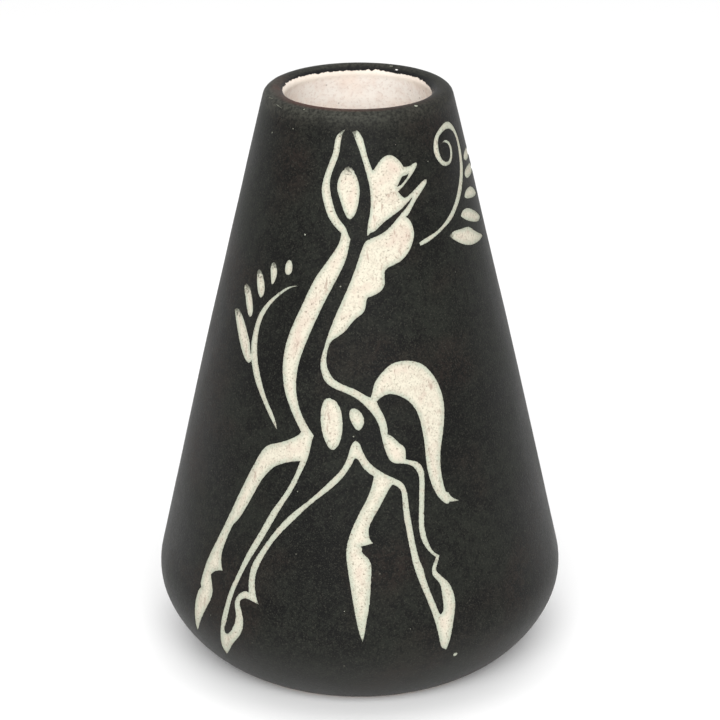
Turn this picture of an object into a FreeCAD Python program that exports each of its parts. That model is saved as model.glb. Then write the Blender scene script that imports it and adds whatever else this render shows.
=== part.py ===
import FreeCAD, Part
import math
import os

from FreeCAD import Vector

# A small thrown pot with a drawing of a horse scratched through its black slip coat.
# Millimetres, +Z up, on the axis of the pot, with the foot on Z = 0. The drawing faces -Y.
# Every profile curve is a circular arc that meets the next one without a kink, so a layer
# at any depth below the surface is the same arcs with other radii.

HEIGHT = 160.0
BELLY_CENTRE = (36.45, 22.93)   # radius and height of the centre of the belly's curve
BELLY_CURVE = 19.58
BELLY_START = -22.1             # degrees above the horizontal, seen from that centre
FOOT_CURVE = 31.4               # the slacker curve from there down to the foot
LEAN_LOW = 12.52                # degrees that the shoulder leans in, just above the belly
LEAN_TOP = 13.68                # and just under the rim
RIM_START = 157.75              # height where the shoulder turns into the rolled rim
LIP_CURVE = 2.45                # radius of the rim on its inner side
FLOOR = 6.0
FLOOR_FILLET = 9.0

COAT = 0.3                      # thickness of the black slip
GROUND = 0.3                    # thickness of the white slip under it
LINING = 0.3                    # thickness of the pale slip inside
SKIRT = 0.4                     # the coats stop this far above the table
COAT_END = 158.8                # the coats end here, inside the mouth
LINING_TOP = 158.3              # the lining starts below them, and bare clay shows between

CUT_INSIDE = 20.0               # radii that the drawing's cutters run between
CUT_OUTSIDE = 60.0
DRAWING_RADIUS = 42.0           # a middling radius of the drawn wall, for spacing its curves
SEAM = 180.0                    # degrees from the middle of the drawing to the seam at the back
DRAWING_STRETCH = 0.998         # true height for each mm of height in the outlines below
DRAWING_LEAN = 0.17             # mm that the drawing dips at its right and rises at its left

# The drawing. Each outline is a list of runs, and each run a smooth curve through its points
# that ends at a corner, the first point of the next run. One run alone is a smooth loop.
# A point is (degrees round the pot from the drawing's middle, height in mm).

# The horse is one open band, from ear to ear round the whole body, so its edge is one loop.
HORSE = [
    # crest of the head, down its outer edge to the jaw
    [(-7.2, 156.0), (-9.5, 155.4), (-11.8, 154.4), (-13.0, 152.9), (-13.6, 150.4), (-16.4, 146.3),
     (-18.3, 142.9), (-18.7, 140.3), (-17.6, 137.9), (-14.6, 134.0), (-10.4, 131.2)],
    # throat and chest, outer edge
    [(-8.0, 130.0), (-8.4, 128.4), (-9.6, 126.7), (-15.5, 121.4), (-19.6, 117.4), (-24.0, 110.8),
     (-28.1, 103.8), (-29.7, 98.4), (-29.6, 93.6), (-28.1, 88.9), (-24.9, 84.1)],
    # near foreleg: front edge, with a nick in it, then the hoof and the fetlock
    [(-20.2, 78.6), (-22.1, 77.2), (-27.5, 75.0), (-31.2, 73.9), (-33.7, 72.3), (-36.5, 68.1),
     (-40.2, 60.9), (-43.9, 52.8), (-47.4, 45.1), (-49.7, 40.2), (-51.2, 35.8)],
    [(-52.1, 30.7)],
    [(-51.4, 30.0)],
    [(-52.1, 29.3), (-52.9, 26.6), (-53.5, 21.0)],
    [(-54.6, 15.6), (-52.8, 17.1), (-50.8, 20.2), (-48.5, 24.1), (-46.7, 27.9), (-46.2, 30.2),
     (-46.8, 32.2)],
    [(-48.0, 34.6), (-46.6, 36.0), (-45.1, 36.7)],
    [(-43.4, 37.1), (-44.4, 38.8), (-44.8, 40.6), (-44.6, 43.0), (-43.6, 46.2), (-41.9, 50.1),
     (-40.2, 52.0), (-36.2, 58.5), (-33.5, 63.4), (-31.5, 66.0), (-29.0, 68.2), (-25.6, 69.8)],
    # far foreleg: front edge, hoof, fetlock, back edge and on along the belly
    [(-19.9, 71.1), (-21.1, 67.8), (-24.6, 61.7), (-28.5, 56.4), (-31.2, 51.4), (-35.2, 44.2),
     (-37.9, 37.7), (-39.8, 32.9), (-41.1, 26.8), (-42.4, 19.6), (-43.4, 14.4)],
    [(-43.1, 12.0), (-40.8, 14.2), (-37.9, 17.9), (-35.2, 21.2), (-34.0, 23.9), (-34.1, 26.8),
     (-35.6, 30.1), (-35.4, 31.4), (-34.0, 32.1), (-32.2, 32.0)],
    [(-29.4, 31.4), (-30.7, 33.7), (-31.4, 36.3), (-31.4, 39.2), (-30.6, 41.9), (-28.3, 46.4),
     (-24.8, 51.2), (-19.1, 56.9), (-15.1, 60.5), (-9.1, 64.8), (-4.8, 68.5), (-2.5, 71.4)],
    [(-1.6, 72.8), (-0.5, 72.5), (0.8, 70.9), (2.1, 69.7)],
    # near hind leg: front edge to the hoof, back edge to the hock
    [(4.6, 68.1), (4.1, 66.4), (2.8, 63.3), (0.0, 58.8), (-2.3, 54.6), (-3.8, 50.4), (-4.0, 47.0),
     (-3.2, 41.9), (-2.2, 36.4), (-0.8, 29.3)],
    [(0.6, 24.7), (1.2, 27.2), (1.8, 30.6), (2.6, 34.6), (3.1, 40.4), (3.3, 44.3), (2.6, 46.5),
     (1.1, 47.9)],
    [(0.5, 48.6)],
    [(0.7, 49.3)],
    [(0.2, 49.9), (1.8, 50.2)],
    [(4.0, 50.7), (3.0, 51.9), (2.6, 53.7), (3.5, 56.3), (6.4, 60.4), (9.0, 64.1)],
    # far hind leg: front edge, worn hoof tip, back edge to the hock and up to the rump
    [(10.1, 65.4), (11.0, 65.6), (12.0, 65.1), (12.9, 64.4), (13.4, 62.8), (13.5, 59.3),
     (14.1, 54.0), (14.9, 49.1), (15.7, 44.3), (17.3, 39.2), (19.4, 33.6), (20.8, 28.9),
     (21.8, 24.2), (22.5, 21.1)],
    [(23.2, 20.3)],
    [(24.1, 19.7), (24.7, 21.2), (25.6, 24.4), (26.6, 28.3), (27.5, 31.9), (27.4, 34.6),
     (26.2, 37.8), (23.9, 40.3), (22.6, 42.0), (22.9, 43.2)],
    [(24.0, 45.7), (22.8, 46.4), (21.5, 48.0), (20.2, 51.8), (20.0, 55.0), (20.6, 60.2),
     (21.3, 66.0), (21.0, 69.0), (19.4, 70.8), (17.6, 71.4)],
    [(15.3, 72.0), (15.5, 73.8), (15.0, 75.2), (13.6, 76.2), (11.4, 78.0)],
    [(9.6, 78.8), (9.5, 81.0), (8.5, 83.7), (7.0, 85.9)],
    # tail: lower edge, forked tip, upper edge
    [(6.2, 87.4), (8.4, 88.6), (11.0, 89.1), (14.5, 88.4), (17.9, 86.7), (20.4, 84.0),
     (21.7, 80.3), (22.3, 75.5), (22.4, 70.0), (23.0, 66.5), (24.2, 63.0), (26.1, 60.2)],
    [(28.1, 58.7)],
    [(28.8, 58.6)],
    [(29.3, 59.0), (31.0, 58.8)],
    [(32.7, 58.7), (31.3, 59.4), (29.9, 60.4)],
    [(29.4, 61.4)],
    [(28.3, 61.8), (27.6, 65.0), (27.4, 68.9), (28.1, 73.0), (29.7, 77.1), (31.0, 81.2),
     (31.4, 85.0), (30.7, 88.4), (28.9, 91.7), (25.9, 94.7), (22.4, 96.4), (17.0, 97.3),
     (11.8, 96.6), (8.0, 94.4), (5.7, 92.2), (4.9, 90.4)],
    # back, then the mane's scalloped edge up to the chin
    [(4.1, 88.5), (2.3, 89.0), (-1.3, 90.5), (-6.5, 91.9), (-9.8, 93.4), (-12.0, 96.1),
     (-12.4, 98.8), (-11.6, 101.5), (-10.4, 102.8), (-6.2, 104.9), (-3.4, 107.0), (-1.4, 108.5),
     (0.9, 109.6), (2.5, 111.0), (3.0, 112.6)],
    [(3.8, 113.9), (7.0, 114.6), (9.8, 115.8), (11.0, 117.2), (11.1, 118.9)],
    [(11.3, 120.1), (12.6, 121.1), (16.7, 122.0), (20.6, 123.3), (23.9, 125.4), (26.2, 128.2),
     (26.4, 130.2), (25.2, 132.3)],
    # lower lip, mouth, upper lip
    [(23.2, 133.5), (24.9, 134.2), (28.0, 136.4), (32.5, 138.8), (35.7, 140.3)],
    [(37.2, 141.2)],
    [(37.3, 141.9), (34.8, 141.7), (30.0, 140.2), (26.2, 138.9), (23.5, 138.3), (22.0, 138.8)],
    [(20.2, 140.1), (22.3, 140.8), (26.3, 142.6), (30.3, 144.5), (32.4, 145.9)],
    [(32.6, 146.4), (31.5, 146.6), (29.0, 146.2), (26.5, 145.9)],
    # forehead, then the far ear down its outer edge and up again
    [(24.4, 146.0), (23.4, 147.0), (20.8, 148.4), (17.4, 149.3), (14.0, 149.0), (10.9, 147.7),
     (8.6, 146.2)],
    [(7.3, 145.8), (6.2, 147.5), (4.6, 149.9), (3.2, 152.9), (1.6, 154.6)],
    [(-0.6, 155.8)],
    # face, inner edge, and the dark slit of the cheek
    [(-3.4, 155.4), (-0.6, 152.4), (1.7, 149.3), (4.1, 145.3), (5.6, 141.9), (6.1, 139.0),
     (5.7, 135.6), (4.6, 132.8)],
    [(3.9, 129.3), (5.4, 130.1), (7.6, 130.6), (10.3, 131.9), (15.0, 133.7), (20.6, 135.4),
     (24.5, 136.9)],
    [(27.4, 138.1), (24.8, 136.3), (21.8, 134.9), (17.2, 132.6), (13.8, 130.9), (9.3, 129.5),
     (5.9, 128.8)],
    # neck, back, rump and far hind leg, inner edge
    [(3.4, 128.2), (1.3, 125.9), (-2.0, 120.3), (-7.4, 112.3), (-11.6, 105.4), (-13.9, 99.8),
     (-14.6, 96.6), (-13.6, 93.6), (-10.9, 91.3), (-6.1, 89.9), (-2.4, 88.8), (1.3, 86.9),
     (4.9, 83.9), (6.7, 81.2), (7.5, 78.3), (8.5, 74.9), (10.2, 72.0), (12.3, 71.1),
     (15.6, 70.7), (18.2, 69.4), (19.4, 67.2), (19.3, 64.5), (18.7, 59.0), (18.2, 54.5),
     (18.7, 50.7), (20.3, 47.8)],
    [(22.8, 45.4), (21.9, 43.8), (21.2, 42.0), (21.5, 40.6), (23.2, 38.4), (23.7, 35.4),
     (23.8, 32.2), (23.3, 30.6), (22.7, 30.2), (22.0, 31.6), (20.2, 36.7), (18.9, 41.3)],
    # far hind leg and belly, inner edge
    [(18.7, 42.8), (17.9, 44.7), (17.0, 48.2), (16.5, 51.3), (15.7, 57.0), (15.3, 61.5),
     (14.8, 64.3), (13.4, 66.2), (10.3, 67.7), (6.0, 69.8), (3.2, 71.8), (1.2, 74.4),
     (0.1, 76.5)],
    [(-1.2, 77.4), (-2.6, 76.4), (-4.0, 72.9), (-6.2, 69.6), (-9.4, 66.8), (-15.2, 61.9),
     (-21.5, 57.0), (-27.1, 50.9), (-31.0, 45.2), (-33.1, 41.2), (-33.6, 37.4)],
    # inside of the far foreleg
    [(-33.2, 34.0), (-34.8, 33.8), (-36.6, 32.4), (-37.5, 30.0), (-36.7, 27.3), (-36.8, 24.6),
     (-38.4, 21.5), (-39.9, 20.4), (-40.5, 21.2), (-39.7, 24.3), (-38.8, 30.2), (-36.8, 36.6),
     (-34.1, 42.4), (-30.3, 48.9), (-25.1, 58.1), (-21.9, 62.9), (-19.3, 67.8), (-17.2, 72.2),
     (-16.4, 75.6)],
    # throat and head, inner edge
    [(-15.6, 78.1), (-19.0, 81.4), (-21.9, 85.4), (-23.4, 89.8), (-23.5, 94.0), (-22.0, 99.2),
     (-18.1, 106.5), (-13.7, 113.1), (-8.4, 119.7), (-5.5, 123.8), (-4.2, 127.2)],
    [(-3.7, 128.6), (-4.9, 130.0), (-6.2, 131.6), (-9.6, 133.8), (-12.8, 137.7), (-14.5, 141.5),
     (-14.1, 144.4), (-11.6, 148.0), (-10.2, 150.4), (-9.8, 152.4), (-9.2, 154.1)],
]

# A sliver of black left standing in the upper lip.
LIP_SLIVER = [
    [(19.9, 141.3), (21.8, 142.7), (23.2, 143.6), (24.9, 143.8)],
    [(26.9, 144.2), (25.7, 143.2), (24.0, 142.4), (22.3, 141.7)],
]

EYE = [[(-5.2, 146.6), (-2.0, 145.4), (0.6, 141.5), (0.1, 138.0), (-1.6, 134.9), (-4.1, 133.6),
        (-6.4, 134.8), (-9.4, 138.9), (-10.8, 141.8), (-8.6, 145.3)]]
SHOULDER_MARK = [[(-11.2, 88.0), (-8.2, 87.3), (-6.4, 85.0), (-5.8, 81.8), (-6.5, 77.2),
                  (-9.0, 74.8), (-11.5, 76.8), (-13.3, 81.0), (-13.4, 85.4)]]
RIB_MARK = [[(-2.3, 85.7), (0.1, 85.0), (1.6, 82.6), (0.5, 80.4), (-0.7, 80.1), (-2.5, 81.8),
             (-3.5, 84.4)]]

# The sprig in front of the horse: a stem, a leaf joined to it, and four loose leaves.
FRONT_STEM = [
    [(-26.3, 115.5), (-30.6, 115.0), (-35.3, 113.0), (-40.0, 110.1), (-43.7, 106.6),
     (-45.3, 103.2), (-45.9, 99.0), (-45.3, 95.6), (-43.6, 92.2), (-41.2, 89.0), (-36.9, 84.8),
     (-32.9, 81.1)],
    [(-29.2, 77.9), (-31.5, 81.9), (-35.0, 85.4), (-38.3, 89.6), (-41.0, 93.8), (-42.6, 98.0),
     (-42.9, 101.9), (-41.8, 105.6), (-38.1, 109.9), (-33.9, 112.8), (-30.0, 114.7)],
]
FRONT_LEAVES = [
    [[(-44.3, 94.2), (-45.9, 96.5), (-46.8, 98.1), (-49.6, 101.0), (-53.2, 103.7),
      (-57.2, 105.1)],
     [(-60.0, 104.3), (-58.0, 102.3), (-54.8, 99.2), (-51.5, 96.0), (-47.8, 93.4),
      (-45.6, 92.9)]],
    [[(-55.8, 111.6), (-54.2, 112.3), (-51.2, 111.1), (-48.7, 108.3), (-47.8, 105.4),
      (-49.2, 104.5), (-51.8, 106.3), (-54.4, 109.3)]],
    [[(-48.8, 116.9), (-46.9, 117.0), (-44.3, 115.0), (-43.0, 112.0), (-44.6, 110.3),
      (-47.2, 112.0), (-48.8, 114.9)]],
    [[(-41.2, 119.6), (-39.5, 120.1), (-37.8, 118.4), (-38.1, 115.7), (-39.6, 114.5),
      (-40.9, 116.6)]],
    [[(-31.9, 121.7), (-30.2, 120.4), (-30.6, 118.4), (-32.6, 117.9), (-33.9, 119.3)]],
]

# The scroll in front of the face, an open spiral, and the leaves that fan out behind it.
SCROLL = [
    [(28.4, 126.4), (32.0, 127.3), (38.1, 128.3), (43.8, 129.8), (49.6, 131.9), (55.3, 134.5),
     (60.5, 137.6), (65.0, 140.7), (67.9, 144.2), (69.2, 147.8), (67.6, 150.5), (63.2, 152.1),
     (59.3, 152.4), (54.0, 151.9), (50.7, 150.8), (49.4, 148.6), (50.1, 146.3), (52.3, 144.9),
     (55.9, 144.6), (58.6, 145.9), (59.2, 147.8), (57.2, 149.1)],
    [(53.2, 149.6), (57.2, 149.9), (60.6, 148.8), (61.7, 147.0), (60.4, 145.1), (57.6, 143.9),
     (53.7, 143.6), (49.8, 144.2), (46.4, 146.2), (45.2, 148.3), (47.0, 151.1), (52.0, 153.0),
     (59.0, 154.1), (65.0, 153.7), (69.8, 151.8), (72.5, 149.1), (72.7, 145.4), (70.9, 142.0),
     (67.4, 138.9), (61.0, 135.0), (55.3, 132.4), (49.6, 130.2), (43.8, 128.7), (36.0, 126.8)],
    [(29.0, 125.7)],
]
SCROLL_LEAVES = [
    [[(46.0, 126.2), (49.6, 127.0), (55.0, 126.8), (62.2, 126.2), (67.9, 124.1), (74.8, 122.0)],
     [(76.3, 121.2), (70.2, 121.1), (61.0, 121.6), (54.0, 123.0), (48.6, 124.9)]],
    [[(56.8, 129.9), (60.0, 131.0), (65.0, 130.8), (71.4, 129.2), (77.4, 127.2)],
     [(80.5, 125.8), (76.0, 125.5), (67.9, 126.6), (60.5, 128.4)]],
    [[(63.8, 134.0), (67.0, 135.2), (73.1, 135.3), (79.0, 134.0)],
     [(84.5, 131.6), (78.4, 131.8), (71.4, 132.5), (66.0, 133.2)]],
    [[(69.6, 139.0), (72.5, 140.1), (79.0, 140.3), (86.0, 139.8), (93.0, 138.2)],
     [(99.0, 136.3), (92.0, 136.6), (85.0, 137.2), (77.0, 137.4), (71.0, 138.0)]],
    [[(73.4, 143.0), (76.5, 144.0), (82.0, 144.3), (88.0, 143.9), (95.0, 142.4)],
     [(102.0, 140.0), (95.0, 140.5), (88.0, 141.3), (81.0, 141.5), (75.0, 142.1)]],
]

# A spot by the far hind hoof where a fleck of the coat has come off.
FLECK = [[(26.6, 17.2), (27.1, 17.9), (27.8, 17.7), (28.0, 17.1), (27.5, 16.6), (26.9, 16.7)]]


def on_arc(centre, radius, angle):
    """The (radius, height) point of a profile arc at an angle in degrees above the horizontal."""
    turn = math.radians(angle)
    return (centre[0] + radius * math.cos(turn), centre[1] + radius * math.sin(turn))


def at_height(centre, radius, height):
    """The angle at which a profile arc reaches a height, on its outer side."""
    return math.degrees(math.asin((height - centre[1]) / radius))


def shoulder_arc():
    """The long arc of the leaning wall: tangent to the belly, and ending at RIM_START."""
    start = on_arc(BELLY_CENTRE, BELLY_CURVE, LEAN_LOW)
    rise = math.sin(math.radians(LEAN_TOP)) - math.sin(math.radians(LEAN_LOW))
    radius = (RIM_START - start[1]) / rise
    return on_arc(start, -radius, LEAN_LOW), radius


def rim_arc():
    """The outer roll of the rim: tangent to the wall, and level with the pot's full height."""
    centre, radius = shoulder_arc()
    roll = (HEIGHT - RIM_START) / (1 - math.sin(math.radians(LEAN_TOP)))
    return on_arc(on_arc(centre, radius, LEAN_TOP), -roll, LEAN_TOP), roll


FOOT_CENTRE = on_arc(on_arc(BELLY_CENTRE, BELLY_CURVE, BELLY_START), -FOOT_CURVE, BELLY_START)
SHOULDER_CENTRE, SHOULDER_CURVE = shoulder_arc()
RIM_CENTRE, RIM_CURVE = rim_arc()
LIP_CENTRE = (RIM_CENTRE[0], HEIGHT - LIP_CURVE)

# The wall is as thick as lets the inner side of the lip run into the inner wall without a kink.
LIP_REACH = math.dist(SHOULDER_CENTRE, LIP_CENTRE)
WALL = SHOULDER_CURVE + LIP_CURVE - LIP_REACH
NECK_ANGLE = at_height(SHOULDER_CENTRE, LIP_REACH, LIP_CENTRE[1])

# The fillet between the floor and the curve above it touches both.
FILLET_REACH = FOOT_CURVE - WALL - FLOOR_FILLET
FILLET_ANGLE = at_height(FOOT_CENTRE, FILLET_REACH, FLOOR + FLOOR_FILLET)
FILLET_CENTRE = on_arc(FOOT_CENTRE, FILLET_REACH, FILLET_ANGLE)


def outer_arcs(depth, bottom, end):
    """Arcs of the outside, this deep below it, from height bottom over the rim to height end."""
    lip_curve = LIP_CURVE - depth
    foot_angle = at_height(FOOT_CENTRE, FOOT_CURVE - depth, bottom)
    end_angle = 180 - at_height(LIP_CENTRE, lip_curve, end)
    return [
        (FOOT_CENTRE, FOOT_CURVE - depth, foot_angle, BELLY_START),
        (BELLY_CENTRE, BELLY_CURVE - depth, BELLY_START, LEAN_LOW),
        (SHOULDER_CENTRE, SHOULDER_CURVE - depth, LEAN_LOW, LEAN_TOP),
        (RIM_CENTRE, RIM_CURVE - depth, LEAN_TOP, 90),
        (LIP_CENTRE, lip_curve, 90, end_angle),
    ]


def inner_arcs(depth, top):
    """Arcs of the inside, this deep below it, from height top down to the flat of the floor."""
    lip_curve = LIP_CURVE - depth
    inward = WALL - depth
    top_angle = 180 - at_height(LIP_CENTRE, lip_curve, top)
    return [
        (LIP_CENTRE, lip_curve, top_angle, 180 + NECK_ANGLE),
        (SHOULDER_CENTRE, SHOULDER_CURVE - inward, NECK_ANGLE, LEAN_LOW),
        (BELLY_CENTRE, BELLY_CURVE - inward, LEAN_LOW, BELLY_START),
        (FOOT_CENTRE, FOOT_CURVE - inward, BELLY_START, FILLET_ANGLE),
        (FILLET_CENTRE, FLOOR_FILLET + depth, FILLET_ANGLE, -90),
    ]


def profile_point(point):
    """A (radius, height) pair in the plane that holds the seam."""
    return Vector(0, point[0], point[1])


def arc_edges(arcs):
    """One edge for each arc of a chain."""
    edges = []
    for centre, radius, start, end in arcs:
        points = [profile_point(on_arc(centre, radius, a)) for a in (start, (start + end) / 2, end)]
        edges.append(Part.Arc(*points).toShape())
    return edges


def line_edges(points):
    """Straight edges through a chain of points."""
    return [Part.makeLine(a, b) for a, b in zip(points, points[1:])]


def revolved(edges):
    """The solid of revolution whose half section is bounded by the edges."""
    wire = Part.Wire(Part.__sortEdges__(edges))
    return Part.Face(wire).revolve(Vector(0, 0, 0), Vector(0, 0, 1), 360)


def first_point(arcs):
    centre, radius, start, _ = arcs[0]
    return profile_point(on_arc(centre, radius, start))


def last_point(arcs):
    centre, radius, _, end = arcs[-1]
    return profile_point(on_arc(centre, radius, end))


def coat_layer(depth, thickness):
    """A coat over the outside and the lip, whose own outer face is this deep."""
    outside = outer_arcs(depth, SKIRT, COAT_END)
    inside = outer_arcs(depth + thickness, SKIRT, COAT_END)
    edges = arc_edges(outside) + arc_edges(inside)
    edges += line_edges([first_point(outside), first_point(inside)])
    edges += line_edges([last_point(outside), last_point(inside)])
    return revolved(edges)


def make_clay_body():
    """The thrown wall, floor and foot. Bare clay shows between the coats, under the lip."""
    depth = COAT + GROUND
    outside = outer_arcs(depth, 0, COAT_END)
    inside = inner_arcs(LINING, COAT_END)
    foot_middle = Vector(0, 0, 0)
    floor_middle = Vector(0, 0, FLOOR - LINING)
    edges = arc_edges(outside) + arc_edges(inside)
    edges += line_edges([last_point(outside), first_point(inside)])
    edges += line_edges([last_point(inside), floor_middle, foot_middle, first_point(outside)])
    return revolved(edges)


def make_interior_slip():
    """The pale slip that lines the inside, from under the lip down over the floor."""
    outside = inner_arcs(0, LINING_TOP)
    inside = inner_arcs(LINING, LINING_TOP)
    edges = arc_edges(outside) + arc_edges(inside)
    edges += line_edges([first_point(outside), first_point(inside)])
    floor = [last_point(outside), Vector(0, 0, FLOOR)]
    edges += line_edges(floor + [Vector(0, 0, FLOOR - LINING), last_point(inside)])
    return revolved(edges)


def cylinder(radius):
    """A cylinder round the pot's axis, whose own seam is at the back."""
    surface = Part.Cylinder()
    surface.Radius = radius
    surface.rotate(FreeCAD.Placement(Vector(0, 0, 0), Vector(0, 0, 1), SEAM - 90))
    return surface


def unrolled(point):
    """A drawing point as (angle, height) on a cylinder that starts at the seam."""
    turn = math.radians(point[0])
    height = DRAWING_STRETCH * point[1] - DRAWING_LEAN * math.sin(turn)
    return FreeCAD.Base.Vector2d(turn + math.radians(SEAM), height)


def spacing(a, b):
    """Distance in mm along the wall between two unrolled points."""
    return math.hypot((b.x - a.x) * DRAWING_RADIUS, b.y - a.y)


def smooth_curve(points, closed):
    """A curve through unrolled points, with knots spaced by the root of the distance."""
    knots = [0.0]
    for a, b in zip(points, points[1:] + points[:1] if closed else points[1:]):
        knots.append(knots[-1] + math.sqrt(spacing(a, b)))
    curve = Part.Geom2d.BSplineCurve2d()
    curve.interpolate(Points=points, PeriodicFlag=closed, Parameters=knots)
    return curve


def outline_curves(outline):
    """The curves of one outline: a single loop, or one curve for each run between corners."""
    if len(outline) == 1:
        return [smooth_curve([unrolled(p) for p in outline[0]], True)]
    curves = []
    for run, following in zip(outline, outline[1:] + outline[:1]):
        curves.append(smooth_curve([unrolled(p) for p in run + following[:1]], False))
    return curves


def cutter(outline):
    """A solid with this outline seen from the axis, from inside the coats to outside them."""
    curves = outline_curves(outline)
    faces = []
    sides = []
    for radius in (CUT_INSIDE, CUT_OUTSIDE):
        surface = cylinder(radius)
        edges = [curve.toShape(surface) for curve in curves]
        sides.append(edges)
        face = Part.Face(surface, Part.Wire(edges))
        face.validate()
        faces.append(face)
    for near, far in zip(*sides):
        faces.append(Part.makeRuledSurface(near, far))
    shell = Part.makeShell(faces)
    shell.sewShape()
    return Part.makeSolid(shell)


def make_black_slip():
    """The black coat with the drawing cut through it. The lip's sliver stays, as an island."""
    drawing = [cutter(HORSE).cut(cutter(LIP_SLIVER))]
    marks = [EYE, SHOULDER_MARK, RIB_MARK, FRONT_STEM, SCROLL, FLECK]
    drawing += [cutter(outline) for outline in marks + FRONT_LEAVES + SCROLL_LEAVES]
    return coat_layer(0, COAT).cut(drawing)


def main():
    os.makedirs("parts", exist_ok=True)
    nodes = {
        "clay_body": make_clay_body(),
        "interior_slip": make_interior_slip(),
        "ground_slip": coat_layer(COAT, GROUND),
        "black_slip": make_black_slip(),
    }
    for name, shape in nodes.items():
        shape.exportStep("parts/" + name + ".step")
        print(name, "solids", len(shape.Solids), "valid", shape.isValid(), "volume", shape.Volume)


if __name__ == "__main__":
    main()
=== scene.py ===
import math

import bpy
import numpy as np
from mathutils import Euler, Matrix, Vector, noise
from mathutils.geometry import delaunay_2d_cdt


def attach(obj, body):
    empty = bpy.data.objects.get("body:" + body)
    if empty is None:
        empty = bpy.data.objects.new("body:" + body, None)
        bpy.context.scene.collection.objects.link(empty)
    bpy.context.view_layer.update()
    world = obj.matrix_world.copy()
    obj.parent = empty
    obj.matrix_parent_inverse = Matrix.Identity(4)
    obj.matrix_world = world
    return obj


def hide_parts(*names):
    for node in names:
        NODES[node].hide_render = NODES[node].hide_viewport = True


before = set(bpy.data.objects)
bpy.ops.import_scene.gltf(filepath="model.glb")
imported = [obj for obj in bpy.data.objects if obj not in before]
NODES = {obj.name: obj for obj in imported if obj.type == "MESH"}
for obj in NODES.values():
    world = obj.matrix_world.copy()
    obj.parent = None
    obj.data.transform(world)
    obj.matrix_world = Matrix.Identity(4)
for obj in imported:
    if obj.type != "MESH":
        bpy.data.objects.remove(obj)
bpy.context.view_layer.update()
noise.seed_set(1)           # so that the cut edges wander the same way in every run

# A small black-slipped pot with a scratched drawing, and its looks. Lengths on the pot are in
# mm and become metres in to_metres(); lights, camera and floor are in metres. The wall's
# section is a chain of circular arcs, the same as the CAD's, so that a layer at any depth is
# those arcs with other radii. A place on the wall is (azimuth, along, depth): the azimuth in
# radians from the drawing's middle, and along in mm from the foot's edge up the outside, over
# the rim and down the inside. Laid flat, it is (azimuth * UNROLL, along).

MM = 0.001
HEIGHT = 160.0
BELLY_CENTRE = (36.45, 22.93)
BELLY_CURVE = 19.58
BELLY_START = -22.1
FOOT_CURVE = 31.4
LEAN_LOW = 12.52
LEAN_TOP = 13.68
RIM_START = 157.75
LIP_CURVE = 2.45
FLOOR = 6.0
FLOOR_FILLET = 9.0
SKIRT = 0.4                 # the coats stop this far above the table
CREST_HEIGHT = 159.99       # just short of the top, where the wall still rises
FINE_START = RIM_START - 1.5    # above this height the coats' points lie close together

COAT = 0.14                 # thickness of the black coat as it looks, thinner than the CAD's
BASE = 0.6                  # depth of the clay under the coats
LINING_FACE = 0.16          # the lining's face lies just under the black coat's edge
LINING_BACK = 0.29
COAT_EDGE = 158.75          # mean height where the black ends inside the mouth
GROUND_EDGE = 159.75        # the white ground ends under the black, and the lining starts
MOUTH_OVAL = 0.62           # mm that the lip is thicker at the sides of the mouth
MOUTH_FADE = 45.0           # from this far down the inner wall it is round again
THROWN = 0.16               # mm of slow unevenness in the thrown wall
THROWN_RIPPLE = 0.05        # mm of faster unevenness on top of it
SMOOTHED = 0.75             # share of it that is smoothed away inside
LINING_PROUD = 0.03         # mm that the inner layers stand inwards, so the clay stays hidden

UNROLL = 42.0               # mm per radian when the wall is laid flat
HALF_ROUND = math.pi * UNROLL
TINY = 1e-4                 # mm, to find the points on the seam
MERGE = 1e-5                # mm, points closer than this become one
ON_FACE = 0.05              # mm, a point this near the outer face is on it
SHARP_ANGLE = 50            # degrees

# The meshes' points, in mm: how far apart they are on the wall and over the rim, and how far
# they keep clear of the cuts.
OUTLINE_STEP = 0.45
COAT_STEPS = (2.1, 0.85)
COAT_BORDER_STEPS = (2.0, 0.7)
COAT_CLEAR = 0.45
GROUND_STEPS = (3.2, 1.6)
GROUND_CLEAR = 0.6
SHOWN_STEP = 0.75           # where the ground shows in the drawing
SHOWN_CLEAR = 0.2
DRAWN_LOW = (-60, 4)        # corners of the part of the flat wall that the drawing is on
DRAWN_RIGHT = 80
DRAWN_TOP = 159.5           # as a height
LINING_COUNT = 144          # points in each ring of the lining


def on_arc(centre, radius, angle):
    turn = math.radians(angle)
    return (centre[0] + radius * math.cos(turn), centre[1] + radius * math.sin(turn))


def at_height(centre, radius, height):
    return math.degrees(math.asin((height - centre[1]) / radius))


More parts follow.
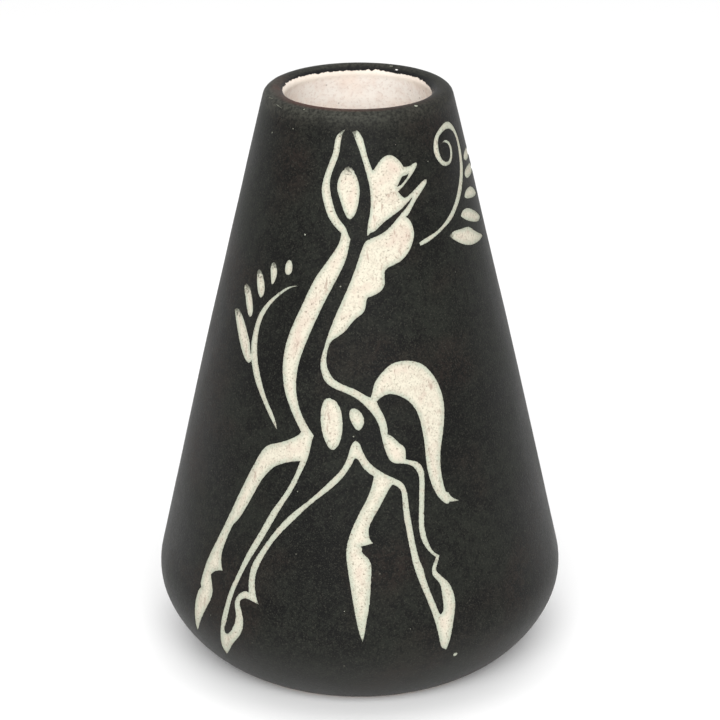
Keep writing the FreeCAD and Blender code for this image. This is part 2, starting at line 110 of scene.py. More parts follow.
def wall_chain():
    """Arcs from the foot's edge over the rim and down to the middle of the floor.

    Each is (centre, radius, start, end, side), where side is 1 where depth makes the radius
    smaller and -1 where it makes it larger."""
    foot_centre = on_arc(on_arc(BELLY_CENTRE, BELLY_CURVE, BELLY_START), -FOOT_CURVE, BELLY_START)
    start = on_arc(BELLY_CENTRE, BELLY_CURVE, LEAN_LOW)
    rise = math.sin(math.radians(LEAN_TOP)) - math.sin(math.radians(LEAN_LOW))
    shoulder = (RIM_START - start[1]) / rise
    shoulder_centre = on_arc(start, -shoulder, LEAN_LOW)
    roll = (HEIGHT - RIM_START) / (1 - math.sin(math.radians(LEAN_TOP)))
    rim_centre = on_arc(on_arc(shoulder_centre, shoulder, LEAN_TOP), -roll, LEAN_TOP)
    lip_centre = (rim_centre[0], HEIGHT - LIP_CURVE)
    reach = math.dist(shoulder_centre, lip_centre)
    wall = shoulder + LIP_CURVE - reach
    neck = at_height(shoulder_centre, reach, lip_centre[1])
    fillet_reach = FOOT_CURVE - wall - FLOOR_FILLET
    fillet = at_height(foot_centre, fillet_reach, FLOOR + FLOOR_FILLET)
    fillet_centre = on_arc(foot_centre, fillet_reach, fillet)
    return [
        (foot_centre, FOOT_CURVE, at_height(foot_centre, FOOT_CURVE, SKIRT), BELLY_START, 1),
        (BELLY_CENTRE, BELLY_CURVE, BELLY_START, LEAN_LOW, 1),
        (shoulder_centre, shoulder, LEAN_LOW, LEAN_TOP, 1),
        (rim_centre, roll, LEAN_TOP, 90, 1),
        (lip_centre, LIP_CURVE, 90, 180 + neck, 1),
        (shoulder_centre, shoulder - wall, neck, LEAN_LOW, -1),
        (BELLY_CENTRE, BELLY_CURVE - wall, LEAN_LOW, BELLY_START, -1),
        (foot_centre, FOOT_CURVE - wall, BELLY_START, fillet, -1),
        (fillet_centre, FLOOR_FILLET, fillet, -90, -1),
    ]


CHAIN = wall_chain()
LENGTHS = [math.radians(abs(end - start)) * radius for _, radius, start, end, _ in CHAIN]
STARTS = np.concatenate([[0.0], np.cumsum(LENGTHS)])
OUTSIDE_END = STARTS[5]      # the lip's arc ends here, and the inner wall starts
FLOOR_EDGE = STARTS[-1]
FLOOR_RADIUS = CHAIN[-1][0][0]
MIDDLE = FLOOR_EDGE + FLOOR_RADIUS


def section(along, depth):
    """(radius, height) of the places this far along the wall and this deep in it, as arrays."""
    along, depth = np.broadcast_arrays(np.asarray(along, float), np.asarray(depth, float))
    radius = np.zeros(along.shape)
    height = np.zeros(along.shape)
    for i, (centre, curve, start, end, side) in enumerate(CHAIN):
        past_start = along > STARTS[i] if i else along >= STARTS[i]
        here = past_start & (along <= STARTS[i + 1])
        share = (along[here] - STARTS[i]) / LENGTHS[i]
        angle = np.radians(start + share * (end - start))
        reach = curve - side * depth[here]
        radius[here] = centre[0] + reach * np.cos(angle)
        height[here] = centre[1] + reach * np.sin(angle)
    flat = along > FLOOR_EDGE
    radius[flat] = np.maximum(MIDDLE - along[flat], 0)
    height[flat] = FLOOR - depth[flat]
    return radius, height


def along_at(height, inside):
    """How far along the wall it reaches this height, outside or on the lip's inner side."""
    if inside:
        centre, curve, start, _, _ = CHAIN[4]
        return STARTS[4] + math.radians(180 - at_height(centre, curve, height) - start) * curve
    tries = np.linspace(0, STARTS[4], 4000)
    return float(np.interp(height, section(tries, 0)[1], tries))


CREST = along_at(CREST_HEIGHT, False)


def locate(radius, height):
    """(along, depth) of points on or near the outside, from the foot to the lip."""
    best = np.full(radius.shape, 1e9)
    along = np.zeros(radius.shape)
    for i, (centre, curve, start, end, _) in enumerate(CHAIN[:5]):
        dx = radius - centre[0]
        dz = height - centre[1]
        angle = np.degrees(np.arctan2(dz, dx))
        angle = np.where(angle < -90, angle + 360, angle)
        depth = curve - np.hypot(dx, dz)
        fits = (angle >= start - 0.02) & (angle <= end + 0.02) & (np.abs(depth) < np.abs(best))
        best[fits] = depth[fits]
        share = (angle[fits] - start) / (end - start)
        along[fits] = STARTS[i] + np.clip(share, 0, 1) * LENGTHS[i]
    return along, best


def thrown(azimuth, along):
    """The small unevenness of a hand-thrown wall: mm outwards, the same for every layer."""
    out = np.empty(len(azimuth))
    for i, (turn, run) in enumerate(zip(azimuth, along)):
        place = Vector((1.6 * math.sin(turn), 1.6 * math.cos(turn), run / 38.0))
        out[i] = THROWN * noise.noise(place) + THROWN_RIPPLE * noise.noise(place * 3.1)
    return out


def mouth(azimuth, along):
    """How much further in the lip's inner side is than a true circle, in mm."""
    over = np.clip((along - STARTS[4]) / LENGTHS[4], 0, 1)
    down = 1 - np.clip((along - OUTSIDE_END) / MOUTH_FADE, 0, 1)
    share = over * over * (3 - 2 * over) * down * down * (3 - 2 * down)
    return share * MOUTH_OVAL * np.sin(azimuth) ** 2


def to_metres(azimuth, along, depth):
    """Points in the row's frame, from places on the wall."""
    radius, height = section(along, depth)
    radius = radius - mouth(azimuth, np.asarray(along))
    along = np.asarray(along)
    bump = thrown(azimuth, along) * np.clip(radius / 20, 0, 1)
    inside = np.clip((along - OUTSIDE_END) / 2, 0, 1)
    bump = bump * (1 - SMOOTHED * inside) - LINING_PROUD * inside
    flat = along > FLOOR_EDGE
    radius = radius + np.where(flat, 0, bump)
    height = height - np.where(flat, bump, 0)
    return np.stack([radius * np.sin(azimuth), -radius * np.cos(azimuth), height], 1) * MM


# ---------------------------------------------------------------- the drawing's outlines

def open_edges(faces):
    """Edges that only one triangle has, as pairs of points in that triangle's direction."""
    edges = np.concatenate([faces[:, [0, 1]], faces[:, [1, 2]], faces[:, [2, 0]]])
    _, where, count = np.unique(np.sort(edges, 1), axis=0, return_index=True, return_counts=True)
    return edges[where[count == 1]]


def drawing_loops(node):
    """Closed outlines of the cuts through the CAD's black coat, laid flat.

    Edges that run round the whole pot are the coat's own ends, and are left out."""
    mesh = node.data
    points = np.empty(len(mesh.vertices) * 3)
    mesh.vertices.foreach_get("co", points)
    points = points.reshape(-1, 3) / MM
    _, first, same = np.unique(np.round(points, 3), axis=0, return_index=True, return_inverse=True)
    points = points[first]
    same = same.ravel()
    mesh.calc_loop_triangles()
    corners = np.empty(len(mesh.loop_triangles) * 3, np.int32)
    mesh.loop_triangles.foreach_get("vertices", corners)
    corners = same[corners].reshape(-1, 3)
    whole = (corners[:, 0] != corners[:, 1]) & (corners[:, 1] != corners[:, 2]) \
        & (corners[:, 2] != corners[:, 0])
    corners = corners[whole]
    along, depth = locate(np.hypot(points[:, 0], points[:, 1]), points[:, 2])
    outer = corners[(np.abs(depth[corners]) < ON_FACE).all(axis=1)]
    following = {}
    for a, b in open_edges(outer):
        following.setdefault(int(a), []).append(int(b))
    azimuth = np.arctan2(points[:, 0], -points[:, 1])
    loops = []
    while following:
        start = next(iter(following))
        loop = [start]
        while loop[-1] in following:
            onward = following[loop[-1]].pop()
            if not following[loop[-1]]:
                del following[loop[-1]]
            if onward == start:
                break
            loop.append(onward)
        flat = np.stack([azimuth[loop] * UNROLL, along[loop]], 1)
        if 6 < len(loop) and np.ptp(flat[:, 0]) < 0.9 * HALF_ROUND:
            loops.append(flat)
    return loops


def stepped(loop, step):
    """The loop with its sides divided so that none is longer than step."""
    out = []
    for a, b in zip(loop, np.roll(loop, -1, axis=0)):
        n = max(1, int(math.ceil(math.dist(a, b) / step)))
        out += [a + (b - a) * i / n for i in range(n)]
    return np.array(out)


HAND = 0.09                  # mm that a cut edge wanders
RAGGED = [                   # where it is torn by more: degrees, height, reach, mm
    (-5.0, 146.0, 3.2, 0.55),
    (-57.0, 111.5, 6.0, 0.35),
    (-9.0, 87.5, 3.0, 0.3),
    (4.2, 128.8, 1.6, 0.3),
    (22.5, 134.0, 2.0, 0.2),
]


def hand_cut(loop):
    """A flat outline as the tool leaves it in dry slip: a little uneven, and torn in places."""
    out = np.empty(loop.shape)
    for i, (x, y) in enumerate(loop):
        strength = HAND
        for turn, height, reach, torn in RAGGED:
            away = math.hypot(x - math.radians(turn) * UNROLL, y - along_at(height, False))
            strength += (torn - strength) * max(0.0, 1 - (away / reach) ** 2)
        shift = noise.noise_vector(Vector((x * 2.1, y * 2.1, 4.0)))
        out[i] = (x + strength * shift.x, y + strength * shift.y)
    return out


def laid_flat(turn, below, shape):
    """A small shape in mm, moved to its place on the flat wall: degrees, mm below the crest."""
    stretch = UNROLL / section([CREST - below], 0)[0][0]
    return np.array([math.radians(turn) * UNROLL, CREST - below]) + shape * [stretch, 1]


def uneven_round(count, unevenness, frequency, seed):
    """(angle, share of the radius) for each point of an uneven loop."""
    for i in range(count):
        angle = 2 * math.pi * i / count
        place = Vector((frequency * math.cos(angle), frequency * math.sin(angle), seed))
        yield angle, 1 + unevenness * noise.noise(place)


def chip(turn, below, size, seed):
    """A small uneven loop where the coat has chipped off. size is (half width, half height)."""
    out = []
    for angle, jut in uneven_round(14, 0.35, 2, seed):
        out.append(jut * np.array([size[0] * math.cos(angle), size[1] * math.sin(angle)]))
    return laid_flat(turn, below, np.array(out))


def scrape(turn, below, length, width, lean, seed):
    """A thin uneven sliver where the coat is scratched off. lean is degrees from upright."""
    run = np.array([math.sin(math.radians(lean)), math.cos(math.radians(lean))])
    side = np.array([run[1], -run[0]])
    out = []
    for angle, jut in uneven_round(16, 0.5, 3, seed):
        out.append(run * length / 2 * math.cos(angle) * jut
                   + side * width / 2 * math.sin(angle) * jut)
    return laid_flat(turn, below, np.array(out))


NICKS = [                    # small chips: degrees, mm below the crest, (half width, half height)
    (39.5, 0.9, (0.62, 0.5)),
    (-35.0, 1.6, (0.3, 0.3)),
    (155.5, -0.9, (0.7, 0.4)),
    (149.5, -2.1, (0.5, 0.2)),
    (-57.0, 10.0, (0.26, 0.3)),
    (-40.0, 7.3, (0.2, 0.2)),
    (21.0, 10.2, (0.14, 0.14)),
    (40.0, 16.0, (0.2, 0.16)),
    (-25.5, 33.7, (0.26, 0.22)),
    (-7.7, 46.2, (0.2, 0.2)),
    (46.0, 46.1, (0.14, 0.16)),
    (-2.0, 85.3, (0.18, 0.16)),
    (-20.0, 101.0, (0.16, 0.18)),
    (-4.4, 132.0, (0.16, 0.14)),
    (13.8, 137.5, (0.15, 0.15)),
    (-46.0, 141.0, (0.2, 0.2)),
    (118.0, 62.0, (0.3, 0.25)),
    (-142.0, 96.0, (0.25, 0.3)),
    (171.0, 120.0, (0.2, 0.2)),
]
HALF_SCRAPED = [             # ends of strokes where some black is left: degrees, height, reach
    (-10.3, 155.4, 2.4),
    (-2.5, 155.2, 2.2),
    (-5.3, 146.2, 2.6),
    (46.0, 125.7, 2.6),
    (-39.5, 119.8, 2.2),
    (-47.7, 117.2, 3.0),
    (-53.8, 112.4, 3.4),
    (-57.6, 105.4, 3.6),
]
SCRATCHES = [                # degrees, mm below the crest, length, width, lean in degrees
    (-70.0, 2.0, 3.0, 0.2, 84),
    (-56.0, 2.8, 3.6, 0.2, 98),
    (-52.0, 5.8, 5.2, 0.15, 25),
    (50.7, 53.0, 6.0, 0.1, 2),
    (-109.0, 40.0, 7.0, 0.14, 32),
    (133.0, 88.0, 5.0, 0.12, -18),
]


def holds(loop, points):
    """Which points lie inside a loop, by the even-odd rule."""
    inside = np.zeros(len(points), bool)
    low, high = loop.min(0), loop.max(0)
    near = np.nonzero(((points >= low) & (points <= high)).all(axis=1))[0]
    x, y = points[near, 0], points[near, 1]
    odd = np.zeros(len(near), bool)
    for (ax, ay), (bx, by) in zip(loop, np.roll(loop, -1, axis=0)):
        crosses = (ay > y) != (by > y)
        if crosses.any():
            at = ax + (y[crosses] - ay) * (bx - ax) / (by - ay)
            odd[np.nonzero(crosses)[0][x[crosses] < at]] ^= True
    inside[near] = odd
    return inside


def within(loops, points):
    """Which points lie in the area that the loops enclose together: a loop in a loop is a hole."""
    inside = np.zeros(len(points), bool)
    for loop in loops:
        inside ^= holds(loop, points)
    return inside


def edge_distance(loops, points):
    """mm from each point to the nearest outline."""
    best = np.full(len(points), 1e9)
    for loop in loops:
        for a, b in zip(loop, np.roll(loop, -1, axis=0)):
            run = b - a
            share = np.clip(((points - a) @ run) / max(run @ run, 1e-12), 0, 1)
            away = points - (a + share[:, None] * run)
            best = np.minimum(best, np.einsum("ij,ij->i", away, away))
    return np.sqrt(best)


# ---------------------------------------------------------------- meshes

def scattered(low, high, step):
    """Staggered points that fill a rectangle, clear of its border."""
    rows = max(2, int((high[1] - low[1]) / (step * 0.87)))
    out = []
    for j in range(1, rows):
        y = low[1] + (high[1] - low[1]) * j / rows
        count = max(2, int((high[0] - low[0]) / step))
        shift = 0.25 if j % 2 else -0.25
        x = low[0] + (high[0] - low[0]) * (np.arange(1, count) + shift) / count
        out.append(np.stack([x, np.full(len(x), y)], 1))
    return np.concatenate(out)


def unrolled_sheet(top, loops, points, step, top_step):
    """Triangles over the flat wall, from its foot to the line top(azimuth), with the loops as
    edges. Returns the flat points, the triangles, and for each point the one that it is joined
    to, itself or its partner across the seam."""
    half = HALF_ROUND
    count = int(2 * half / step)
    feet = np.linspace(-half, half, count + 1)
    xs = np.linspace(-half, half, int(2 * half / top_step) + 1)
    ends = np.array([top(x / UNROLL) for x in xs])
    ends[-1] = ends[0]
    rim = along_at(FINE_START, False)
    side = np.concatenate([np.linspace(0, rim, int(rim / step))[1:],
                           np.linspace(rim, ends[0], int((ends[0] - rim) / top_step))[1:-1]])
    low = np.stack([feet, np.zeros(count + 1)], 1)
    high = np.stack([xs, ends], 1)
    left = np.stack([np.full(len(side), -half), side], 1)
    right = np.stack([np.full(len(side), half), side], 1)
    border = np.concatenate([low, right, high[::-1], left[::-1]])
    rings = [border] + loops
    limit = np.interp(points[:, 0], xs, ends)
    points = points[(points[:, 1] < limit - 0.7 * top_step)
                    & (np.abs(points[:, 0]) < half - 0.3 * step)]
    edges = []
    at = 0
    for ring in rings:
        edges += [(at + i, at + (i + 1) % len(ring)) for i in range(len(ring))]
        at += len(ring)
    flat = np.concatenate(rings + [points])
    made = delaunay_2d_cdt([Vector(p) for p in flat], edges, [], 1, MERGE)
    flat = np.array([(v.x, v.y) for v in made[0]])
    faces = np.array([f for f in made[2] if len(f) == 3])
    join = np.arange(len(flat))
    lefts = np.nonzero(flat[:, 0] < -half + TINY)[0]
    for i in np.nonzero(flat[:, 0] > half - TINY)[0]:
        join[i] = lefts[np.argmin(np.abs(flat[lefts, 1] - flat[i, 1]))]
    return flat, faces, join


def new_piece(name, points, polygons):
    """A smooth object that keeps its steep edges sharp."""
    mesh = bpy.data.meshes.new(name)
    mesh.from_pydata(points.tolist(), [], polygons)
    mesh.validate()
    mesh.polygons.foreach_set("use_smooth", np.ones(len(mesh.polygons), bool))
    piece = bpy.data.objects.new(name, mesh)
    bpy.context.scene.collection.objects.link(piece)
    mesh.set_sharp_from_angle(angle=math.radians(SHARP_ANGLE))
    return piece


def closed_layer(name, flat, faces, join, outer, inner):
    """A closed mesh between two depths (arrays, one value a point), from flat triangles.

    Returns the object, and which of the flat points are in it."""
    used = np.unique(faces)
    faces = join[faces]
    keep = np.unique(join[used])
    index = np.full(len(flat), -1)
    index[keep] = np.arange(len(keep))
    faces = index[faces]
    place = flat[keep]
    azimuth = place[:, 0] / UNROLL
    outside = to_metres(azimuth, place[:, 1], outer[keep])
    inside = to_metres(azimuth, place[:, 1], inner[keep])
    n = len(keep)
    polygons = faces.tolist() + (faces[:, ::-1] + n).tolist()
    polygons += [[b, a, a + n, b + n] for a, b in open_edges(faces).tolist()]
    return new_piece(name, np.concatenate([outside, inside]), polygons), keep


def ring_layer(name, count, azimuth, along, outer, inner):
    """A closed mesh between two depths, of rings of count points that end round the middle of
    the floor."""
    n = len(along)
    rows = n // count
    faces = to_metres(azimuth, along, outer)
    backs = to_metres(azimuth, along, inner)
    points = np.concatenate([faces, backs, [[0, 0, faces[-count:, 2].mean()]],
                             [[0, 0, backs[-count:, 2].mean()]]])
    polygons = []
    for j in range(rows - 1):
        for i in range(count):
            a, b = j * count + i, j * count + (i + 1) % count
            polygons.append([a, b, b + count, a + count])
            polygons.append([n + a, n + a + count, n + b + count, n + b])
    for i in range(count):
        a, b = (rows - 1) * count + i, (rows - 1) * count + (i + 1) % count
        polygons.append([a, b, 2 * n])
        polygons.append([n + b, n + a, 2 * n + 1])
        a, b = i, (i + 1) % count
        polygons.append([b, a, n + a, n + b])
    return new_piece(name, points, polygons)


def ragged_edge(azimuth):
    """Where the black ends inside the mouth: a torn line that wanders round it."""
    ring = Vector((math.sin(azimuth), math.cos(azimuth), 0))
    slow = 0.3 * noise.noise(ring * 2.0 + Vector((0, 0, 7))) - 0.25 * math.cos(2 * azimuth)
    slow -= 0.9 * max(0.0, math.sin(azimuth)) ** 6
    fine = 0.3 * noise.noise(ring * 17.0) + 0.26 * noise.noise(ring * 41.0)
    return along_at(min(COAT_EDGE + slow + fine, GROUND_EDGE - 0.15), True)


def tiers(low, high, step, close):
    """Scattered points, close together over the rolled rim and step apart below it."""
    start = along_at(FINE_START, False)
    body = scattered(low, (high[0], start), step)
    return np.concatenate([body, scattered((low[0], start - close), high, close)])


def point_values(piece, name, values):
    """Stores one number for each point of the mesh, for its material to read."""
    layer = piece.data.attributes.new(name, "FLOAT", "POINT")
    layer.data.foreach_set("value", np.asarray(values, np.float32))


def make_coat(loops):
    """The black coat, with the drawing and the wear cut through it."""
    highest = along_at(COAT_EDGE - 0.6, True)
    points = tiers((-HALF_ROUND, 0), (HALF_ROUND, highest), *COAT_STEPS)
    points = points[~within(loops, points)]
    points = points[edge_distance(loops, points) > COAT_CLEAR]
    flat, faces, join = unrolled_sheet(ragged_edge, loops, points, *COAT_BORDER_STEPS)
    cut = within(loops, flat[faces].mean(axis=1))
    depth = np.zeros(len(flat))
    piece, keep = closed_layer("black_slip_coat", flat, faces[~cut], join, depth, depth + COAT)
    turn, run = flat[keep, 0] / UNROLL, flat[keep, 1]
    over = np.clip((run - STARTS[4]) / LENGTHS[4], 0, 1)
    # The rim's rubbed band: real wear, with painted light from above on it, stronger on the left
    # side than on the right.
    rim_light_and_wear = np.clip((run - STARTS[3] + 2.5) / 3.5, 0, 1) * (1 - over) * (0.75 - 0.25 * np.sin(turn))
    thin = np.clip((run - CREST) / 0.9 + 1, 0, 1) * np.clip(1.5 * np.cos(turn + 0.5) + 0.2, 0, 1)
    for name, values in (("past_crest", over), ("rim_wear_and_painted_light", rim_light_and_wear), ("thin_crest", thin)):
        point_values(piece, name, np.concatenate([values, values]))
    return piece


def make_ground(loops):
    """The white ground: whole under the black, and a little hollowed where it shows."""
    top = along_at(GROUND_EDGE, True)
    wide = tiers((-HALF_ROUND, 0), (HALF_ROUND, top), *GROUND_STEPS)
    wide = wide[~within(loops, wide)]
    wide = wide[edge_distance(loops, wide) > GROUND_CLEAR]
    fine = scattered(DRAWN_LOW, (DRAWN_RIGHT, along_at(DRAWN_TOP, False)), SHOWN_STEP)
    fine = fine[within(loops, fine)]
    fine = fine[edge_distance(loops, fine) > SHOWN_CLEAR]
    points = np.concatenate([wide, fine])
    flat, faces, join = unrolled_sheet(lambda turn: top, loops, points, *GROUND_STEPS)
    away = np.where(within(loops, flat), edge_distance(loops, flat), 0)
    gouge = np.array([noise.noise(Vector((x * 0.9, y * 0.9, 2))) for x, y in flat])
    depth = COAT + 0.02 + np.clip(away / 0.8, 0, 1) * (0.035 + 0.05 * gouge)
    piece, keep = closed_layer("white_ground", flat, faces, join, depth, np.full(len(flat), BASE))
    black_left = np.zeros(len(flat))
    for turn, height, reach in HALF_SCRAPED:
        spot = np.array([math.radians(turn) * UNROLL, along_at(height, False)])
        black_left = np.maximum(black_left, 1 - np.linalg.norm(flat - spot, axis=1) / reach)
    for name, values in (("from_edge", away[keep]), ("half_scraped", black_left[keep])):
        point_values(piece, name, np.concatenate([values, np.zeros(len(keep))]))
    return piece


def make_lining():
    """The pale lining, from under the black down the inside, with faint throwing rings."""
    top = along_at(GROUND_EDGE, True)
    neck = OUTSIDE_END + 3
    lip = np.linspace(top + 0.05, neck, 18)[:-1]
    wall = np.linspace(neck, FLOOR_EDGE, 125)
    floor = np.linspace(FLOOR_EDGE, MIDDLE, 22)[1:-1]
    stops = np.concatenate([lip, wall, floor])
    azimuth = np.tile(2 * math.pi * np.arange(LINING_COUNT) / LINING_COUNT, len(stops))
    along = np.repeat(stops, LINING_COUNT)
    rings = np.array([noise.noise(Vector((math.sin(t) * 0.7, math.cos(t) * 0.7, s / 2.6)))
                      for t, s in zip(azimuth, along)])
    face = LINING_FACE + np.clip((along - top - 3) / 8, 0, 1) * 0.1 * rings
    back = np.full(len(along), LINING_BACK)
    piece = ring_layer("interior_lining", LINING_COUNT, azimuth, along, face, back)
    down = along - top
    middle = [MIDDLE, MIDDLE]
    point_values(piece, "from_top", np.concatenate([down, down, middle]))
    return piece


# ---------------------------------------------------------------- materials

class Nodes:
    """A material's nodes, made with short calls. A value is a number, a colour or a socket."""

    def __init__(self, name):
        self.material = bpy.data.materials.new(name)
        self.material.use_nodes = True
        self.tree = self.material.node_tree
        self.shader = self.tree.nodes["Principled BSDF"]

    def put(self, socket, value):
        if isinstance(value, bpy.types.NodeSocket):
            self.tree.links.new(value, socket)
        else:
            socket.default_value = value

    def node(self, kind, settings=(), **inputs):
        made = self.tree.nodes.new(kind)
        for key, value in settings:
            setattr(made, key, value)
        for key, value in inputs.items():
            self.put(made.inputs[key.replace("_", " ")], value)
        return made

    def place(self, scale=(1, 1, 1), turn=(0, 0, 0)):
        """Object coordinates, scaled and turned."""
        source = self.node("ShaderNodeTexCoord").outputs["Object"]
        made = self.node("ShaderNodeMapping", Scale=scale, Rotation=turn, Vector=source)
        return made.outputs["Vector"]

    def noise(self, where, scale, detail=3.0, rough=0.55):
        return self.node("ShaderNodeTexNoise", Vector=where, Scale=scale, Detail=detail,
                         Roughness=rough).outputs["Fac"]

    def cells(self, where, scale):
        return self.node("ShaderNodeTexVoronoi", Vector=where, Scale=scale).outputs["Distance"]

    def attribute(self, name):
        return self.node("ShaderNodeAttribute", [("attribute_name", name)]).outputs["Fac"]

    def ramp(self, value, low, high, to_low=0.0, to_high=1.0):
        made = self.node("ShaderNodeMapRange", [("interpolation_type", "SMOOTHSTEP")])
        for key, v in (("Value", value), ("From Min", low), ("From Max", high),
                       ("To Min", to_low), ("To Max", to_high)):
            self.put(made.inputs[key], v)
        return made.outputs["Result"]

    def math(self, kind, a, b):
        made = self.node("ShaderNodeMath", [("operation", kind)])
        for socket, value in zip(made.inputs, (a, b)):
            self.put(socket, value)
        return made.outputs[0]

    def mix(self, share, a, b):
        made = self.node("ShaderNodeMix", [("data_type", "RGBA")])
        self.put(made.inputs[0], share)
        for socket, value in ((made.inputs[6], a), (made.inputs[7], b)):
            self.put(socket, value if isinstance(value, bpy.types.NodeSocket) else (*value, 1.0))
        return made.outputs[2]

    def bump(self, height, distance, strength):
        return self.node("ShaderNodeBump", Height=height, Distance=distance,
                         Strength=strength).outputs["Normal"]

    def finish(self, **inputs):
        for key, value in inputs.items():
            self.put(self.shader.inputs[key.replace("_", " ")], value)
        return self.material


def srgb(*levels):
    """Linear colour from 0-255 levels."""
    return tuple(c / 255 / 12.92 if c < 11 else ((c / 255 + 0.055) / 1.055) ** 2.4 for c in levels)


SOOT = srgb(5, 5, 4)                    # the black slip, from its hollows to its dust
GREY_DUST = srgb(27, 29, 24)
BROWN_DUST = srgb(32, 26, 22)
TURNING_LINE = srgb(40, 41, 36)
COARSE_GRAIN = srgb(50, 50, 43)
PALE_SPECK = srgb(120, 118, 106)
# painted reflection: the white floor's bounce light on the black slip low on the foot
FLOOR_BOUNCE_LIGHT = srgb(58, 58, 55)
# the rubbed rim's colours: real wear, and painted light from above that makes the rim lighter
RUBBED_AND_LIT_DARK = srgb(36, 36, 32)
RUBBED_AND_LIT_PALE = srgb(72, 72, 65)
THIN_SLIP = srgb(78, 44, 34)
INSIDE_LIP = srgb(9, 10, 15)

CUT_EDGE = srgb(173, 177, 161)          # the white ground, from the cut's edge inwards
SCRAPED_WHITE = srgb(204, 198, 181)
SCRAPED_MOTTLE = srgb(186, 176, 160)
SCRAPED_GRAIN = srgb(140, 132, 117)
BLUSH = srgb(196, 178, 164)
SCRAPE_MARK = srgb(146, 124, 112)
DARK_GRAIN = srgb(112, 104, 92)
BLACK_RESIDUE = srgb(84, 84, 75)
HALF_SCRAPED_BLACK = srgb(72, 72, 64)

LINING_WHITE = srgb(255, 249, 241)      # the lining, and the clearer band under the lip
LINING_PINK = srgb(252, 238, 226)
LINING_MOTTLE = srgb(236, 217, 205)
LINING_GRAIN = srgb(216, 196, 184)
LINING_SPECK = srgb(150, 135, 124)
# painted shade on the lining over the rounded lip, where it takes more light
LIP_PAINTED_SHADE = srgb(236, 225, 212)
LIP_WHITE = srgb(252, 250, 247)

CLAY_DARK = srgb(186, 146, 116)         # the bare clay
CLAY_LIGHT = srgb(206, 170, 140)
CLAY_GRAIN = srgb(160, 118, 90)
CLAY_GRIT = srgb(226, 208, 188)


def black_slip():
    """Matt black slip: dusty mottling and pale grains, a rubbed rim with painted light on it, thin
    over its crest, and a painted floor reflection low on the foot.
    """
    m = Nodes("black_slip")
    plain = m.place()
    cloud = m.noise(plain, 48, 4)
    patch = m.noise(plain, 330, 3)
    grain = m.noise(plain, 1250, 3, 0.65)
    tooth = m.noise(plain, 2600, 2)
    turning = m.noise(m.place((0.1, 0.1, 1)), 260, 3)
    mottle = m.math("ADD", m.math("MULTIPLY", cloud, 0.3), m.math("MULTIPLY", patch, 0.25))
    dust = m.ramp(m.math("ADD", mottle, m.math("MULTIPLY", grain, 0.45)), 0.43, 0.6)
    brown = m.ramp(m.noise(plain, 36, 2), 0.48, 0.66)
    base = m.mix(dust, SOOT, m.mix(brown, GREY_DUST, BROWN_DUST))
    base = m.mix(m.ramp(turning, 0.5, 0.8, 0, 0.14), base, TURNING_LINE)
    # the rubbed rim: real wear, and painted light, lighter on the left side than on the right
    rim_light_and_wear = m.math("MULTIPLY", m.attribute("rim_wear_and_painted_light"), m.ramp(cloud, 0.3, 0.6, 0.5, 1.0))
    rubbed_and_lit = m.mix(m.ramp(grain, 0.36, 0.66), RUBBED_AND_LIT_DARK, RUBBED_AND_LIT_PALE)
    base = m.mix(rim_light_and_wear, base, rubbed_and_lit)
    base = m.mix(m.ramp(tooth, 0.52, 0.72, 0, 0.75), base, COARSE_GRAIN)
    specks = m.ramp(m.cells(plain, 120), 0.018, 0.04, 0.3, 0.0)
    base = m.mix(specks, base, PALE_SPECK)
    height = m.node("ShaderNodeSeparateXYZ", Vector=plain).outputs["Z"]
    # painted reflection: the black slip is lighter towards the bottom, standing in for the white
    # floor's bounce light
    base = m.mix(m.ramp(height, 0.004, 0.03, 0.35, 0), base, FLOOR_BOUNCE_LIGHT)
    crest = m.attribute("past_crest")
    patches = m.ramp(m.noise(plain, 60, 3), 0.4, 0.65, 0.2, 0.9)
    base = m.mix(m.math("MULTIPLY", m.attribute("thin_crest"), patches), base, THIN_SLIP)
    base = m.mix(m.ramp(crest, 0.3, 0.5, 0, 0.7), base, INSIDE_LIP)
    rough = m.ramp(m.math("ADD", m.math("MULTIPLY", cloud, 0.5), m.math("MULTIPLY", grain, 0.5)),
                   0.35, 0.65, 0.5, 0.66)
    rough = m.math("SUBTRACT", rough, m.ramp(crest, 0.2, 0.5, 0, 0.2))
    relief = m.math("ADD", m.math("MULTIPLY", grain, 0.6), m.math("MULTIPLY", tooth, 0.4))
    return m.finish(Base_Color=base, Roughness=rough, Specular_IOR_Level=0.14,
                    Sheen_Weight=0.05, Sheen_Roughness=0.45, Normal=m.bump(relief, 0.0001, 0.8))


